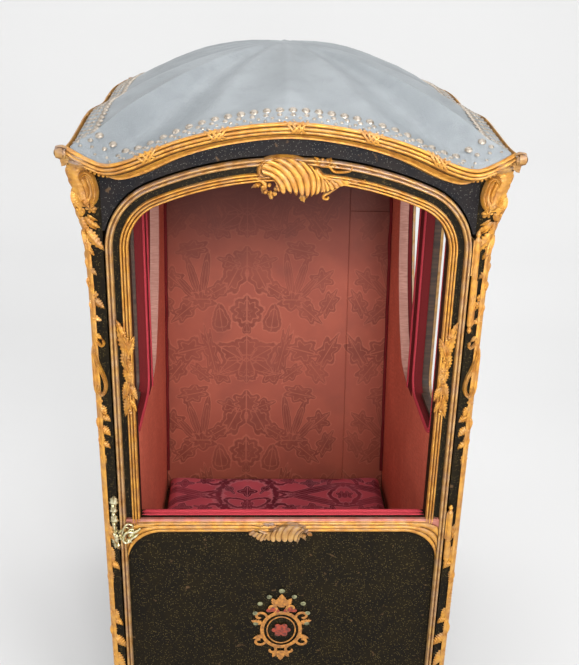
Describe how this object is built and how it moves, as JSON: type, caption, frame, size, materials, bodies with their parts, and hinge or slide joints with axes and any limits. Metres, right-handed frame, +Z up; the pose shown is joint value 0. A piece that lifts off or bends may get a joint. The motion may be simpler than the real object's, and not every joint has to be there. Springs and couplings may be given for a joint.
{
  "type": "sedan chair",
  "caption": "Closed carried chair (palanquin) with an arched front door, side windows, a padded seat, pole loops and a domed leather roof that lifts on rear hinges.",
  "frame": {"origin": "on the floor under the middle of the chair's box", "axes": "+X to the right seen from the front, +Y from the door to the rear, +Z up"},
  "size_m": [0.8526, 1.0526, 1.6449],
  "materials": {
    "green_lacquer": "gloss",
    "gilt_wood": "satin",
    "gilt_bronze": "satin",
    "roof_leather": "satin",
    "silk_damask": "satin",
    "cushion_silk": "satin",
    "latch_brass": "satin",
    "bracket_iron": "matte",
    "painted_cartouche": "satin",
    "plain_wood": "matte"
  },
  "bodies": {
    "chair_body": {"back_pad": "silk_damask", "base_frame": "green_lacquer", "floor_board": "plain_wood", "frieze_front": "green_lacquer", "hinge_lower_post": "gilt_bronze", "hinge_upper_post": "gilt_bronze", "latch_keeper": "latch_brass", "lining_left": "silk_damask", "lining_right": "silk_damask", "pole_bracket_front_left": "bracket_iron", "pole_bracket_front_right": "bracket_iron", "pole_bracket_rear_left": "bracket_iron", "pole_bracket_rear_right": "bracket_iron", "post_front_left": "green_lacquer", "post_front_right": "green_lacquer", "post_rear_left": "green_lacquer", "post_rear_right": "green_lacquer", "rear_moulding": "gilt_wood", "rear_wall": "green_lacquer", "roof_hinge_wall_left": "bracket_iron", "roof_hinge_wall_right": "bracket_iron", "sash_rail_left": "plain_wood", "sash_rail_right": "plain_wood", "seat_board": "plain_wood", "seat_cushion": "cushion_silk", "seat_riser": "plain_wood", "side_moulding_left": "gilt_wood", "side_moulding_right": "gilt_wood", "side_wall_left": "green_lacquer", "side_wall_right": "green_lacquer", "window_frame_front_left": "green_lacquer", "window_frame_front_right": "green_lacquer", "window_frame_quarter_left": "green_lacquer", "window_frame_quarter_right": "green_lacquer", "window_moulding_front_left": "gilt_wood", "window_moulding_front_right": "gilt_wood", "window_moulding_quarter_left": "gilt_wood", "window_moulding_quarter_right": "gilt_wood"},
    "door": {"door_cartouche": "painted_cartouche", "door_crown_shell": "gilt_wood", "door_frame": "green_lacquer", "door_outer_moulding": "gilt_wood", "door_panel": "green_lacquer", "door_rail_moulding": "gilt_wood", "door_rail_shell": "gilt_wood", "door_window_moulding": "gilt_wood", "hinge_lower_door": "gilt_bronze", "hinge_upper_door": "gilt_bronze", "latch": "latch_brass"},
    "roof": {"cornice_front": "gilt_wood", "cornice_left": "gilt_wood", "cornice_rear": "gilt_wood", "cornice_right": "gilt_wood", "roof_hinge_lid_left": "bracket_iron", "roof_hinge_lid_right": "bracket_iron", "roof_shell": "roof_leather", "volute_front_left": "gilt_wood", "volute_front_right": "gilt_wood", "volute_rear_left": "gilt_wood", "volute_rear_right": "gilt_wood"}
  },
  "joints": [
    {"name": "door_swing", "type": "hinge", "parent": "chair_body", "child": "door", "pos_m": [0.356, -0.473, 0.9], "axis": [0, 0, 1], "range_deg": [0, 110]},
    {"name": "roof_lift", "type": "hinge", "parent": "chair_body", "child": "roof", "pos_m": [0, 0.475, 1.428], "axis": [-1, 0, 0], "range_deg": [0, 80]}
  ]
}
